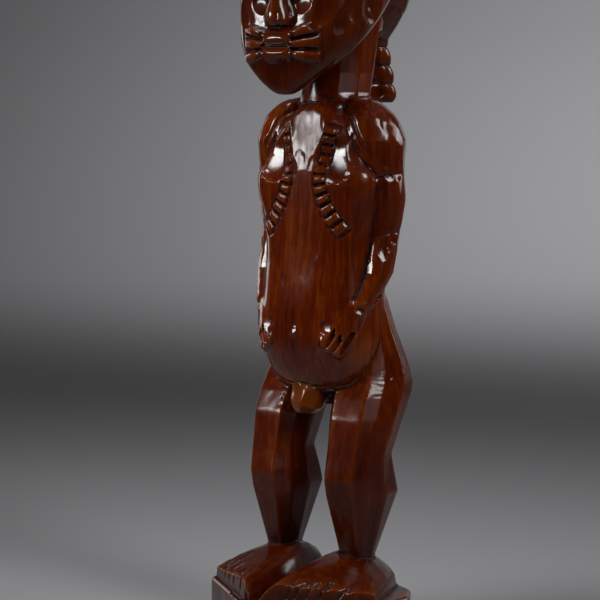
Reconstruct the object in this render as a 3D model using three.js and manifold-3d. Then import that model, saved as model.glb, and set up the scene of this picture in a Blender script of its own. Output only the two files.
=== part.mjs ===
// Standing carved-wood spirit spouse figure on a low faceted base: one solid, cut from a single billet.
// Millimetres, +Z up. The figure faces -Y and its left side is +X.
// The origin is the centre of the base's underside.
import * as THREE from "three";
import { mergeVertices } from "three/addons/utils/BufferGeometryUtils.js";
import Module from "manifold-3d";

const wasm = await Module();
wasm.setup();

// Sizes of the base.
const BASE_HEIGHT = 30;
const BASE_EDGE_CUT = 1.6;
// Half of the base's outline from the front centre round to the back centre: x, then y.
const BASE_FRONT = [11, -53];
const BASE_FRONT_SIDE = [58, -19.5];
const BASE_SIDE = [60.5, 10];
const BASE_BACK_SIDE = [52, 24.5];
const BASE_BACK = [17, 43];
const BASE_MIDDLE_Y = -4;

// Heights and sizes of the carving on the figure.
const CROWN_HEIGHT = 425;
const EYE_HEIGHT = 370;
const EYE_X = 17;
const MOUTH_SLIT_HEIGHT = 335;
const MOUTH_HALF = 9.6;
const PLAIT_TOP = 346;
const PLAIT_BOTTOM = 303.5;
const PLAIT_LOBES = 4;
const SCAR_TOP = 291;
const SCAR_WAIST = 261;
const SCAR_WAIST_X = 10.9;
const SCAR_BOTTOM = 231.4;
const SCAR_BARS = 11;
const SCAR_HALF_WIDTH = 4.2;
const SCAR_NOTCH_DEPTH = 2;
const SCAR_NOTCH_MOUTH = 2.1;
const NAVEL_HEIGHT = 176.5;
const NAVEL_RADIUS = 3.6;
const FINGER_GROOVE_DEPTH = 2.4;
const TOE_GROOVE_DEPTH = 3;

// A closed body through rings of points, all with the same count, capped at both ends by a fan.
function loft(rings) {
  const count = rings[0].length;
  const points = [];
  const faces = [];
  for (const ring of rings) {
    for (const p of ring) {
      points.push(p.x, p.y, p.z);
    }
  }
  for (let i = 0; i + 1 < rings.length; i++) {
    for (let j = 0; j < count; j++) {
      const a = i * count + j;
      const b = i * count + ((j + 1) % count);
      faces.push(a, b, b + count, a, b + count, a + count);
    }
  }
  const middles = [rings[0], rings[rings.length - 1]].map((ring) => {
    const sum = new THREE.Vector3();
    ring.forEach((p) => sum.add(p));
    return sum.divideScalar(count);
  });
  const first = points.length / 3;
  middles.forEach((m) => points.push(m.x, m.y, m.z));
  const last = (rings.length - 1) * count;
  for (let j = 0; j < count; j++) {
    const next = (j + 1) % count;
    faces.push(first, next, j);
    faces.push(first + 1, last + j, last + next);
  }
  const geometry = new THREE.BufferGeometry();
  geometry.setAttribute("position", new THREE.Float32BufferAttribute(points, 3));
  geometry.setIndex(faces);
  return geometry;
}

// A three.js geometry as a solid that can be joined and cut. One wound the wrong way round is turned.
function solid(geometry) {
  const bare = geometry.clone();
  bare.deleteAttribute("normal");
  bare.deleteAttribute("uv");
  const merged = mergeVertices(bare, 1e-4);
  const vertProperties = new Float32Array(merged.attributes.position.array);
  const triVerts = new Uint32Array(merged.index.array);
  const build = () => new wasm.Manifold(new wasm.Mesh({ numProp: 3, vertProperties, triVerts }));
  const made = build();
  if (made.volume() > 0) {
    return made;
  }
  for (let i = 0; i < triVerts.length; i += 3) {
    const keep = triVerts[i];
    triVerts[i] = triVerts[i + 1];
    triVerts[i + 1] = keep;
  }
  return build();
}

// The same body on the figure's other side.
function mirrored(geometry) {
  const copy = geometry.clone();
  copy.scale(-1, 1, 1);
  return copy;
}

// A value between stations given by height, eased so that the outline runs smoothly through them.
function between(stations, field, height) {
  const last = stations.length - 1;
  let i = 0;
  while (i < last - 1 && height > stations[i + 1].z) {
    i++;
  }
  const before = stations[Math.max(0, i - 1)];
  const low = stations[i];
  const high = stations[i + 1];
  const after = stations[Math.min(last, i + 2)];
  const span = high.z - low.z;
  const t = (height - low.z) / span;
  const slopeLow = ((high[field] - before[field]) / (high.z - before.z || 1)) * span;
  const slopeHigh = ((after[field] - low[field]) / (after.z - low.z || 1)) * span;
  const t2 = t * t;
  const t3 = t2 * t;
  return (
    low[field] * (2 * t3 - 3 * t2 + 1) +
    slopeLow * (t3 - 2 * t2 + t) +
    high[field] * (3 * t2 - 2 * t3) +
    slopeHigh * (t3 - t2)
  );
}

// A level rounded-square ring: half its width, where its front and back lie, and how square it is.
function levelRing(station, count, shape = () => [0, 0]) {
  const middle = (station.front + station.back) / 2;
  const depth = (station.back - station.front) / 2;
  const power = 2 / station.square;
  const ring = [];
  for (let j = 0; j < count; j++) {
    const angle = (2 * Math.PI * (j + 0.5)) / count;
    const c = Math.cos(angle);
    const s = Math.sin(angle);
    const x = station.half * Math.sign(c) * Math.abs(c) ** power;
    const y = middle + depth * Math.sign(s) * Math.abs(s) ** power;
    const [dx, dy] = shape(x, y, station.z);
    ring.push(new THREE.Vector3(x + dx, y + dy, station.z));
  }
  return ring;
}

// Level rings at the listed heights, read off the stations.
function levelRings(stations, heights, count, shape) {
  return heights.map((z) => {
    const at = { z };
    for (const field of ["half", "front", "back", "square"]) {
      at[field] = between(stations, field, z);
    }
    return levelRing(at, count, shape);
  });
}

function steps(from, to, count) {
  return Array.from({ length: count + 1 }, (_, i) => from + ((to - from) * i) / count);
}

const bell = (value, middle, width) => Math.exp(-(((value - middle) / width) ** 2));

// Rings square to a path of stations: place, half width across and half depth, with a squareness.
function pathRings(stations, count, square, across) {
  return stations.map((s, i) => {
    const here = new THREE.Vector3(...s.at);
    const before = new THREE.Vector3(...stations[Math.max(0, i - 1)].at);
    const after = new THREE.Vector3(...stations[Math.min(stations.length - 1, i + 1)].at);
    const along = s.level ? new THREE.Vector3(0, 0, -1) : after.sub(before).normalize();
    const wide = across.clone().addScaledVector(along, -across.dot(along)).normalize();
    const deep = along.clone().cross(wide);
    const ring = [];
    for (let j = 0; j < count; j++) {
      const angle = (2 * Math.PI * (j + 0.5)) / count;
      const c = Math.cos(angle);
      const d = Math.sin(angle);
      const u = s.wide * Math.sign(c) * Math.abs(c) ** (2 / square);
      const v = s.deep * Math.sign(d) * Math.abs(d) ** (2 / square);
      ring.push(here.clone().addScaledVector(wide, u).addScaledVector(deep, v));
    }
    return ring;
  });
}

// An egg-shaped lump: a sphere with its own three half sizes, turned and placed.
function lump(at, half, turn = [0, 0, 0], rings = 8) {
  const geometry = new THREE.SphereGeometry(1, rings * 2, rings);
  geometry.scale(...half);
  geometry.rotateX(turn[0]);
  geometry.rotateY(turn[1]);
  geometry.rotateZ(turn[2]);
  geometry.translate(...at);
  return geometry;
}

// A straight V-shaped cutter from one point to another: its keel lies on the line, its mouth opens outwards.
function groove(from, to, outward, depth, mouth) {
  const a = new THREE.Vector3(...from);
  const b = new THREE.Vector3(...to);
  const along = b.clone().sub(a).normalize();
  const out = new THREE.Vector3(...outward);
  out.addScaledVector(along, -out.dot(along)).normalize();
  const side = along.clone().cross(out);
  const rings = [a, b].map((p) => [
    p.clone().addScaledVector(out, -depth),
    p.clone().addScaledVector(out, depth).addScaledVector(side, mouth),
    p.clone().addScaledVector(out, depth).addScaledVector(side, -mouth),
  ]);
  return loft(rings);
}

// Base: an upright block with ten sides and a narrow bevel round its top edge.
const halfOutline = [BASE_FRONT, BASE_FRONT_SIDE, BASE_SIDE, BASE_BACK_SIDE, BASE_BACK];
const baseOutline = [
  ...halfOutline,
  ...halfOutline
    .slice()
    .reverse()
    .map(([x, y]) => [-x, y]),
];
function baseRing(z, inset) {
  return baseOutline.map(([x, y]) => {
    const reach = Math.hypot(x, y - BASE_MIDDLE_Y);
    const keep = (reach - inset) / reach;
    return new THREE.Vector3(x * keep, BASE_MIDDLE_Y + (y - BASE_MIDDLE_Y) * keep, z);
  });
}
const base = loft([
  baseRing(0, 0),
  baseRing(BASE_HEIGHT - BASE_EDGE_CUT, 0),
  baseRing(BASE_HEIGHT, BASE_EDGE_CUT),
]);

// Torso: long and boxy at the chest, swelling to the belly, and closed below in a bowl over the thighs.
const torsoStations = [
  { z: 140.5, half: 12, front: 2, back: 24, square: 2.2 },
  { z: 143.5, half: 22.5, front: -5.4, back: 31, square: 2.4 },
  { z: 149, half: 29, front: -9.6, back: 35, square: 2.4 },
  { z: 157, half: 33, front: -13.4, back: 38, square: 2.4 },
  { z: 166, half: 35.6, front: -16.2, back: 39, square: 2.4 },
  { z: 176, half: 36.4, front: -17, back: 39, square: 2.4 },
  { z: 188, half: 36, front: -16.3, back: 38.5, square: 2.4 },
  { z: 200, half: 35.2, front: -14.6, back: 39, square: 2.5 },
  { z: 215, half: 34.6, front: -12.2, back: 40, square: 2.7 },
  { z: 229, half: 35, front: -10.6, back: 41, square: 2.9 },
  { z: 240, half: 36.4, front: -10, back: 42.2, square: 2.9 },
  { z: 251, half: 38.4, front: -9.5, back: 43.6, square: 2.9 },
  { z: 262, half: 40, front: -9, back: 45, square: 2.9 },
  { z: 270, half: 36, front: -8.6, back: 45.5, square: 2.8 },
  { z: 281, half: 30.5, front: -7.8, back: 45.5, square: 2.7 },
  { z: 292, half: 23.5, front: -6.3, back: 44, square: 2.6 },
  { z: 300, half: 17, front: -2.5, back: 42, square: 2.3 },
  { z: 306, half: 11, front: 6, back: 38, square: 2.1 },
];
// The pectorals swell at the sides of the chest, and a shallow furrow follows the spine.
const PECTORAL_SWELL = 2.6;
const PECTORAL_HEIGHT = 262;
const PECTORAL_X = 33;
const SPINE_DEPTH = 2.6;
const SPINE_LOW_END = 160;
function torsoShape(x, y, z) {
  const tall = z > PECTORAL_HEIGHT ? 8 : 20;
  const chest = bell(z, PECTORAL_HEIGHT, tall) * bell(Math.abs(x), PECTORAL_X, 11);
  const swell = y < 12 ? PECTORAL_SWELL * chest : 0;
  const fade = Math.min(1, Math.max(0, (z - SPINE_LOW_END) / 15));
  const spine = y > 20 ? SPINE_DEPTH * bell(x, 0, 5.5) * fade : 0;
  return [Math.sign(x) * swell * 0.9, -swell * 0.75 - spine];
}
// Where the torso's front surface lies.
function torsoFront(x, z) {
  const [half, front, back, square] = ["half", "front", "back", "square"].map((field) =>
    between(torsoStations, field, z),
  );
  const round = (1 - (Math.abs(x) / half) ** square) ** (1 / square);
  const y = (front + back) / 2 - ((back - front) / 2) * round;
  return y + torsoShape(x, y, z)[1];
}
const torsoHeights = [
  140.5, 143.5, 146, 149, 153, 159, 166, 172, 180, 190, 201, 212, 222, 231, 240, 248, 255, 260,
  264, 268, 273, 279, 285, 291, 297, 302, 306,
];
const torso = loft(levelRings(torsoStations, torsoHeights, 36, torsoShape));

// Pelvis: closes the space between the thighs above the fork of the legs, with a shallow cleft behind.
const pelvis = loft(
  [
    { z: 133, half: 13, front: 9, back: 30, square: 2.6 },
    { z: 138, half: 19, front: 3, back: 39, square: 2.6 },
    { z: 147, half: 22, front: 2, back: 43, square: 2.6 },
    { z: 160, half: 22, front: 0, back: 42, square: 2.6 },
    { z: 178, half: 20, front: 0, back: 38, square: 2.6 },
  ].map((s) => levelRing(s, 16)),
);

// Genital block: a small rounded block under the belly, with cut faces.
const genitals = loft(
  [
    { z: 129.8, half: 5.4, front: -10.6, back: 2, square: 2.6 },
    { z: 132.5, half: 7.6, front: -12.8, back: 6, square: 2.8 },
    { z: 138, half: 8.9, front: -13, back: 8, square: 2.9 },
    { z: 145, half: 8.9, front: -10.6, back: 10, square: 2.9 },
    { z: 152, half: 7.5, front: -7, back: 12, square: 2.6 },
  ].map((s) => levelRing(s, 12)),
);

// Legs: flat knife-cut faces from hip to ankle, with the knees forward and the calves full.
const legCorners = [
  [-0.5, -1],
  [0.5, -0.93],
  [0.8, -0.6],
  [1, -0.03],
  [0.82, 0.6],
  [0.35, 1],
  [-0.4, 1],
  [-0.85, 0.6],
  [-1, -0.05],
  [-0.85, -0.65],
];
const legStations = [
  { z: 41, x: 26, half: 10, front: -2, back: 20 },
  { z: 50, x: 26.1, half: 9.5, front: -1, back: 19 },
  { z: 85, x: 26.7, half: 17, front: -11, back: 37 },
  { z: 94.5, x: 26.7, half: 16.8, front: -13, back: 34 },
  { z: 107, x: 27.3, half: 16.6, front: -10, back: 28 },
  { z: 128, x: 27.5, half: 18.8, front: -6, back: 38.7 },
  { z: 140, x: 26.7, half: 19.8, front: -1, back: 47 },
  { z: 147, x: 26, half: 20, front: 3, back: 48.5 },
  { z: 153, x: 25, half: 20, front: 6, back: 47.5 },
  { z: 161, x: 23.3, half: 19.8, front: 8, back: 44.6 },
  { z: 175, x: 20.5, half: 18.5, front: 8, back: 39.5 },
  { z: 198, x: 16, half: 17, front: 8, back: 34.5 },
];
const leg = loft(
  legStations.map((s) => {
    const middle = (s.front + s.back) / 2;
    const depth = (s.back - s.front) / 2;
    return legCorners.map(([u, v]) => new THREE.Vector3(s.x + u * s.half, middle + v * depth, s.z));
  }),
);

// Feet: broad wedges falling from the ankle to the toes, which follow the base's front edges.
const footStations = [
  { y: 36, inner: 18, outer: 33, top: 35.5 },
  { y: 33, inner: 14.5, outer: 36.5, top: 40.5 },
  { y: 27, inner: 12, outer: 40.5, top: 45 },
  { y: 18, inner: 10, outer: 44.5, top: 49.5 },
  { y: 8, inner: 7.5, outer: 48.5, top: 51.5 },
  { y: -5, inner: 4, outer: 53, top: 50 },
  { y: -20, inner: 2.2, outer: 57.5, top: 47.5 },
  { y: -36, inner: 2.2, outer: 58.5, top: 45 },
  { y: -48, inner: 3, outer: 58.5, top: 42 },
  { y: -56, inner: 4, outer: 58, top: 38 },
];
const FOOT_SHARES = [0, 0.02, 0.08, 0.19, 0.33, 0.5, 0.68, 0.82, 0.92, 0.98, 1];
function footRing(s) {
  const low = BASE_HEIGHT - 1;
  const ring = [
    new THREE.Vector3(s.inner, s.y, BASE_HEIGHT - 3),
    new THREE.Vector3(s.outer, s.y, BASE_HEIGHT - 3),
  ];
  for (const share of FOOT_SHARES) {
    const rise = Math.min(1, share / 0.5) ** 0.35;
    const fall = 1 - 0.75 * Math.max(0, (share - 0.72) / 0.28) ** 4;
    const x = s.outer + (s.inner - s.outer) * share;
    ring.push(new THREE.Vector3(x, s.y, low + (s.top - low) * rise * fall));
  }
  return ring;
}
const foot = loft(footStations.map(footRing));
// What lies outside the line of the toes, or above the slope that falls towards it, is cut away.
const TOE_SETBACK = 3;
const TOE_HEIGHT_INNER = 41.5;
const TOE_HEIGHT_OUTER = 35.6;
const TOE_SLOPE = Math.tan((29 * Math.PI) / 180);
const FOOT_REACH = 60;
const CUTTER_TOP = 90;
const toeStart = new THREE.Vector2(...BASE_FRONT);
const toeEnd = new THREE.Vector2(...BASE_FRONT_SIDE);
const toeRun = toeEnd.clone().sub(toeStart);
const toeOut = new THREE.Vector2(toeRun.y, -toeRun.x).normalize();
// A point on the ground plan: share of the way along the toe line, and how far behind it.
function toePoint(share, behind) {
  return toeStart
    .clone()
    .addScaledVector(toeRun, share)
    .addScaledVector(toeOut, -TOE_SETBACK - behind);
}
function toeHeight(share) {
  return TOE_HEIGHT_INNER + (TOE_HEIGHT_OUTER - TOE_HEIGHT_INNER) * share;
}
function toeCutter() {
  const plan = [
    toePoint(-0.6, 0),
    toePoint(-0.6, -FOOT_REACH),
    toePoint(1.6, -FOOT_REACH),
    toePoint(1.6, 0),
  ];
  const heights = [BASE_HEIGHT - 10, CUTTER_TOP];
  return loft(heights.map((z) => plan.map((p) => new THREE.Vector3(p.x, p.y, z))));
}
function instepCutter() {
  const ahead = 8;
  const rings = [-0.5, 1.5].map((share) => {
    const front = toePoint(share, -ahead);
    const back = toePoint(share, FOOT_REACH);
    const rise = toeHeight(share) + FOOT_REACH * TOE_SLOPE;
    return [
      new THREE.Vector3(front.x, front.y, toeHeight(share) - ahead * TOE_SLOPE),
      new THREE.Vector3(back.x, back.y, rise),
      new THREE.Vector3(back.x, back.y, rise + 30),
      new THREE.Vector3(front.x, front.y, CUTTER_TOP),
    ];
  });
  return loft(rings);
}
// The grooves between the toes: where each meets the toe line, and its length.
const TOE_GROOVES = [
  { share: 0.17, length: 14 },
  { share: 0.33, length: 15 },
  { share: 0.51, length: 17 },
  { share: 0.72, length: 18 },
];
function toeGrooves() {
  const upwards = [0, -0.4, 1];
  return TOE_GROOVES.map(({ share, length }) => {
    const tip = toePoint(share, -2);
    return groove(
      [tip.x, tip.y, toeHeight(share) - 2.2],
      [tip.x + 0.5, tip.y + length, toeHeight(share) + 0.8 * length * TOE_SLOPE],
      upwards,
      TOE_GROOVE_DEPTH * 0.6,
      TOE_GROOVE_DEPTH * 0.75,
    );
  });
}

// Arms: a full shoulder, cut off crisply from the slimmer upper arm, and a forearm brought to the belly.
const armStations = [
  { at: [21, 18, 306.3], wide: 5, deep: 6, level: true },
  { at: [23.2, 18, 303.5], wide: 10, deep: 11, level: true },
  { at: [26.6, 18, 297.5], wide: 14, deep: 14.6, level: true },
  { at: [29.2, 18, 290], wide: 16.4, deep: 16.6, level: true },
  { at: [30.8, 18, 282], wide: 17.4, deep: 17.6, level: true },
  { at: [32.4, 18, 274], wide: 16, deep: 16.4, level: true },
  { at: [34.4, 18, 267], wide: 13, deep: 13.8, level: true },
  { at: [37.2, 18, 262.5], wide: 10.8, deep: 11.5 },
  { at: [39, 18, 251], wide: 10.4, deep: 11 },
  { at: [37.6, 17.6, 238], wide: 9.6, deep: 10.2 },
  { at: [36.4, 17.2, 229], wide: 9, deep: 9.8 },
  { at: [37.5, 15.6, 221], wide: 9.4, deep: 9.6 },
  { at: [36.8, 11.8, 209.5], wide: 9, deep: 9 },
  { at: [34.4, 6.8, 199.5], wide: 8.4, deep: 8.2 },
  { at: [32, 2, 192.5], wide: 7.4, deep: 7 },
  { at: [29.8, -2.4, 187], wide: 6.4, deep: 4.6 },
];
const arm = loft(pathRings(armStations, 12, 2.2, new THREE.Vector3(1, 0, 0)));

// Hands: flat and spade-like on the sides of the belly, with grooves between the fingers.
const handAcross = new THREE.Vector3(0.69, 0.42, -0.59);
const handStations = [
  { at: [31.6, 1.6, 192.5], wide: 6.5, deep: 4.6 },
  { at: [30.2, -1.2, 189], wide: 8.2, deep: 5.2 },
  { at: [27.6, -5.2, 182], wide: 9, deep: 4.8 },
  { at: [24.4, -9.2, 174], wide: 9.2, deep: 4.2 },
  { at: [21.8, -12, 167.5], wide: 8.4, deep: 3.4 },
  { at: [21, -12.8, 165.6], wide: 7, deep: 2 },
];
const hand = loft(pathRings(handStations, 12, 2.8, handAcross));
const KNUCKLE = new THREE.Vector3(29, -5.6, 181);
const FINGER_TIP = new THREE.Vector3(23.2, -15.2, 163);
const FINGER_PITCH = 4.5;
function fingerGrooves() {
  const awayFromHand = [0.62, -0.78, 0.02];
  return [-1.04, -0.04, 0.96].map((place) => {
    const wide = handAcross.clone().multiplyScalar(FINGER_PITCH * place);
    const from = KNUCKLE.clone().add(wide);
    const to = FINGER_TIP.clone().add(wide);
    return groove(from.toArray(), to.toArray(), awayFromHand, FINGER_GROOVE_DEPTH, 1.9);
  });
}

// Neck: a strong column leaning back a little, wider towards the skull.
const neck = loft(
  [
    { z: 292, half: 20, front: 2, back: 42, square: 2.2 },
    { z: 303, half: 20, front: 2, back: 42, square: 2.2 },
    { z: 320, half: 20, front: 5, back: 45.5, square: 2.2 },
    { z: 336, half: 21, front: 8, back: 49.5, square: 2.2 },
    { z: 352, half: 22, front: 10, back: 54, square: 2.2 },
    { z: 366, half: 24, front: 10, back: 57, square: 2.2 },
  ].map((s) => levelRing(s, 18)),
);

// Face: a broad wedge from the small chin to the ears, its underside rising steeply backwards.
const faceStations = [
  { z: 307.6, half: 5.5, front: -26.5, back: -22, square: 2.2 },
  { z: 310, half: 10, front: -28, back: -20, square: 2.3 },
  { z: 315, half: 17, front: -29.6, back: -16, square: 2.5 },
  { z: 322, half: 25.5, front: -30.4, back: -8, square: 2.7 },
  { z: 330, half: 32, front: -30.2, back: 2, square: 3 },
  { z: 339, half: 36, front: -29.4, back: 12, square: 3.3 },
  { z: 350, half: 38.4, front: -28.8, back: 25, square: 3.4 },
  { z: 362, half: 39.8, front: -28.4, back: 37, square: 3.4 },
  { z: 375, half: 39.6, front: -28.4, back: 48, square: 3.1 },
  { z: 388, half: 38, front: -28.4, back: 52, square: 2.6 },
  { z: 400, half: 35, front: -25, back: 50, square: 2.4 },
  { z: 410, half: 29, front: -18, back: 44, square: 2.2 },
];
const faceHeights = [307.6, 310, 315, 322, 330, 339, 350, 362, 370, 378, 388, 395, 402, 410];
const face = loft(levelRings(faceStations, faceHeights, 30));

// Hair: a close cap over the skull, thicker than the brow below it, gathered low at the nape.
const hairStations = [
  { z: 340, half: 11, front: 48, back: 66, square: 2.1 },
  { z: 346, half: 18, front: 38, back: 67, square: 2.2 },
  { z: 353, half: 25, front: 30, back: 67.5, square: 2.2 },
  { z: 362, half: 32, front: 24, back: 67.5, square: 2.2 },
  { z: 373, half: 38, front: 16, back: 67, square: 2.2 },
  { z: 384, half: 41, front: 4, back: 65.5, square: 2.3 },
  { z: 393, half: 40.6, front: -16, back: 63, square: 2.3 },
  { z: 399, half: 38, front: -26.4, back: 60.5, square: 2.2 },
  { z: 407, half: 34, front: -23.5, back: 55, square: 2.15 },
  { z: 415, half: 27, front: -15.5, back: 46.5, square: 2.1 },
  { z: 421, half: 18, front: -5, back: 36, square: 2 },
  { z: CROWN_HEIGHT, half: 6, front: 9, back: 22, square: 2 },
];
const hairHeights = [
  340, 343, 346, 353, 362, 373, 384, 393, 399, 403, 407, 411, 415, 419, 422.5, CROWN_HEIGHT,
];
const hair = loft(levelRings(hairStations, hairHeights, 28));

// Plait: hangs free behind the neck in four swellings, each overlapping the next.
function plaitRings() {
  return steps(0, 1, 16).map((t) => {
    const z = PLAIT_TOP + (PLAIT_BOTTOM - PLAIT_TOP) * t;
    const beat = (t * PLAIT_LOBES) % 1;
    const swell = 0.8 + 0.2 * Math.sin(Math.PI * Math.min(1, beat * 1.02)) ** 0.6;
    const end = t > 0.95 ? 0.72 : 1;
    const half = 9 * swell * end;
    const depth = 7.6 * swell * end;
    const middle = 58.5 + 14 * t - 2 * t * t;
    return levelRing({ z, half, front: middle - depth, back: middle + depth, square: 2.3 }, 12);
  });
}
const plait = loft(plaitRings());

// Nose: long and narrow from the brow, flaring to the wings.
const nose = loft(
  [
    { z: 345, half: 8.6, front: -35.5, back: -20, square: 2.4 },
    { z: 348, half: 9.2, front: -38, back: -20, square: 2.2 },
    { z: 352, half: 8, front: -38.2, back: -20, square: 2 },
    { z: 358, half: 5.4, front: -36.6, back: -20, square: 1.9 },
    { z: 372, half: 4, front: -33.4, back: -20, square: 1.9 },
    { z: 385, half: 4.6, front: -30.8, back: -20, square: 2 },
    { z: 391, half: 6, front: -28, back: -20, square: 2 },
  ].map((s) => levelRing(s, 14)),
);

// Mouth: a squared block with two lips and a straight slit between them.
const LIP_FRONT = -34.6;
const mouth = loft(
  [
    { z: 325, half: MOUTH_HALF - 1.6, front: -31.4, back: -22, square: 4 },
    { z: 327.4, half: MOUTH_HALF, front: -33.8, back: -22, square: 4 },
    { z: 331.5, half: MOUTH_HALF, front: LIP_FRONT, back: -22, square: 4 },
    { z: 339, half: MOUTH_HALF, front: -34.4, back: -22, square: 4 },
    { z: 342, half: MOUTH_HALF, front: -33.2, back: -22, square: 4 },
    { z: 344, half: MOUTH_HALF - 1.6, front: -31, back: -22, square: 4 },
  ].map((s) => levelRing(s, 16)),
);
const slit = groove(
  [-MOUTH_HALF - 1, LIP_FRONT, MOUTH_SLIT_HEIGHT],
  [MOUTH_HALF + 1, LIP_FRONT, MOUTH_SLIT_HEIGHT],
  [0, -1, 0],
  2.4,
  1.6,
);

// Three raised scars fan out beside each corner of the mouth.
function cheekScars() {
  return [
    { from: 340.3, to: 344.6 },
    { from: 335, to: 336 },
    { from: 330, to: 327.8 },
  ].map((bar) =>
    loft(
      pathRings(
        [
          { at: [9, -31.4, bar.from], wide: 2, deep: 2 },
          { at: [17, -29.8, (bar.from + bar.to) / 2], wide: 2.8, deep: 2.4 },
          { at: [24.4, -25.8, bar.to], wide: 3.2, deep: 2.4 },
        ],
        8,
        3,
        new THREE.Vector3(0, 0, 1),
      ),
    ),
  );
}

// Eyes: half-closed lids in almond outline, under arched brows that spring from the nose.
const browStations = [
  { at: [2.5, -29.5, 384], wide: 2, deep: 3 },
  { at: [9, -29.6, 387.6], wide: 2.1, deep: 3 },
  { at: [18, -28.2, 388.2], wide: 2, deep: 3 },
  { at: [26, -25, 384.5], wide: 1.8, deep: 2.8 },
  { at: [32.5, -19.4, 377.5], wide: 1.4, deep: 2.4 },
];
const brow = loft(pathRings(browStations, 8, 2.2, new THREE.Vector3(0, 0, 1)));
const eyeLid = lump([EYE_X, -25.6, EYE_HEIGHT], [9.4, 5.2, 4.6], [0, 0, 0.2], 6);
const eyeSocket = lump([EYE_X, -32.8, EYE_HEIGHT + 1], [12.5, 6.8, 10], [0, 0, 0.24], 6);

// Ears: C-shaped rims standing off the sides of the head.
const ear = lump([38.6, 22, 374.5], [4, 8, 12], [-0.2, 0, 0.12], 7);
const earHollow = lump([42.8, 20, 375], [3.4, 4.8, 8], [-0.2, 0, 0.12], 5);

// Chest scars: two curved ladders of notches that start near the collar, draw in and swing out below.
function scarPath(share) {
  const z = SCAR_TOP + (SCAR_BOTTOM - SCAR_TOP) * share;
  const reach = Math.abs(z - SCAR_WAIST) / 30;
  const swing = z > SCAR_WAIST ? 5.4 * reach ** 1.3 : 16 * reach ** 1.6;
  return { x: SCAR_WAIST_X + swing, z };
}
function scarNotches() {
  return steps(0, 1, SCAR_BARS).map((share) => {
    const here = scarPath(share);
    const above = scarPath(Math.max(0, share - 0.02));
    const below = scarPath(Math.min(1, share + 0.02));
    const lean = Math.atan2(below.x - above.x, above.z - below.z);
    const ends = [-SCAR_HALF_WIDTH, SCAR_HALF_WIDTH].map((reach) => {
      const x = here.x + reach * Math.cos(lean);
      const z = here.z + reach * Math.sin(lean);
      return [x, torsoFront(x, z), z];
    });
    return groove(ends[0], ends[1], [0.1, -1, 0], SCAR_NOTCH_DEPTH, SCAR_NOTCH_MOUTH);
  });
}

// Navel: a low round bud on the front of the belly.
const navel = lump(
  [0, torsoFront(0, NAVEL_HEIGHT) + 1.2, NAVEL_HEIGHT],
  [NAVEL_RADIUS, 3, NAVEL_RADIUS],
  [0, 0, 0],
  5,
);

// One solid out of several, and one solid with several taken out.
const join = (solids) => solids.reduce((whole, part) => whole.add(part));
const cutFrom = (whole, cutters) => cutters.reduce((rest, cutter) => rest.subtract(cutter), whole);
const bothSides = (geometries) => geometries.flatMap((g) => [solid(g), solid(mirrored(g))]);

const head = join([
  cutFrom(solid(face), bothSides([eyeSocket])),
  ...bothSides([eyeLid, brow, ...cheekScars()]),
  solid(nose),
  solid(mouth),
  solid(hair),
  solid(plait),
  ...[ear, mirrored(ear)].map((rim, i) => cutFrom(solid(rim), [bothSides([earHollow])[i]])),
]);
const trunk = join([solid(torso), solid(pelvis), solid(genitals), solid(neck), solid(navel)]);
const limbs = join(bothSides([leg, arm, hand]));
const feet = [foot, mirrored(foot)].map((block, i) =>
  cutFrom(
    solid(block),
    [toeCutter(), instepCutter(), ...toeGrooves()].map((g) => solid(i === 0 ? g : mirrored(g))),
  ),
);
const figure = cutFrom(join([solid(base), trunk, limbs, head, ...feet]), [
  solid(slit),
  ...bothSides([...fingerGrooves(), ...scarNotches()]),
]);

const joined = figure.getMesh();
const carved = new THREE.BufferGeometry();
carved.setAttribute("position", new THREE.BufferAttribute(new Float32Array(joined.vertProperties), 3));
carved.setIndex(new THREE.BufferAttribute(new Uint32Array(joined.triVerts), 1));
carved.computeVertexNormals();

const wood = new THREE.MeshStandardMaterial({ color: 0x5a2410, roughness: 0.28, metalness: 0 });
const mesh = new THREE.Mesh(carved, wood);
mesh.name = "spirit_spouse_figure";

const root = new THREE.Group();
root.add(mesh);
export default root;
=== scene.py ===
import math

import bmesh
import bpy
import numpy as np
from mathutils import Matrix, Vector
from mathutils.kdtree import KDTree


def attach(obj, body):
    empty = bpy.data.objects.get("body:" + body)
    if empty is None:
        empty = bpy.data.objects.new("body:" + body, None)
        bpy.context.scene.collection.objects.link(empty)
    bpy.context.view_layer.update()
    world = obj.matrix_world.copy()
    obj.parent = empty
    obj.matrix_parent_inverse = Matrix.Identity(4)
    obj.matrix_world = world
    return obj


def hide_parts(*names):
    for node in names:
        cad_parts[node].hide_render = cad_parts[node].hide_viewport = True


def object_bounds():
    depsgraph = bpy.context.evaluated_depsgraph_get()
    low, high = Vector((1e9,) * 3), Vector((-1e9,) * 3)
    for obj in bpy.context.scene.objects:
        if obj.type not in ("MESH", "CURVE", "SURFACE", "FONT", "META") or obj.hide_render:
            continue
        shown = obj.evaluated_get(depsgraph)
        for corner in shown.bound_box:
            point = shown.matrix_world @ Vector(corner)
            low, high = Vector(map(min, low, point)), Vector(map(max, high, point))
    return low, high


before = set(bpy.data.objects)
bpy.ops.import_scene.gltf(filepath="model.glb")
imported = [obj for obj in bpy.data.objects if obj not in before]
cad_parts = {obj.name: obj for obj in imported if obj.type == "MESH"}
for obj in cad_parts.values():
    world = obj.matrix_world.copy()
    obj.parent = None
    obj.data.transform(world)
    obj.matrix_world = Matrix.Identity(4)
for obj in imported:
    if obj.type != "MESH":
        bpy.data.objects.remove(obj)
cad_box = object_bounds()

# The roughed-out figure: one billet of dense red-brown wood holds the man, his plait and the base.
# The adze gave it its masses. A rasp rounded the broad flats, while the corners that the knife left
# and the creases between limb and body stayed crisp.
MM = 0.001
WELD_GAP = 0.001 * MM
SKIN_STEP = 0.6 * MM
CREST_STEP = 0.5 * MM
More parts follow.
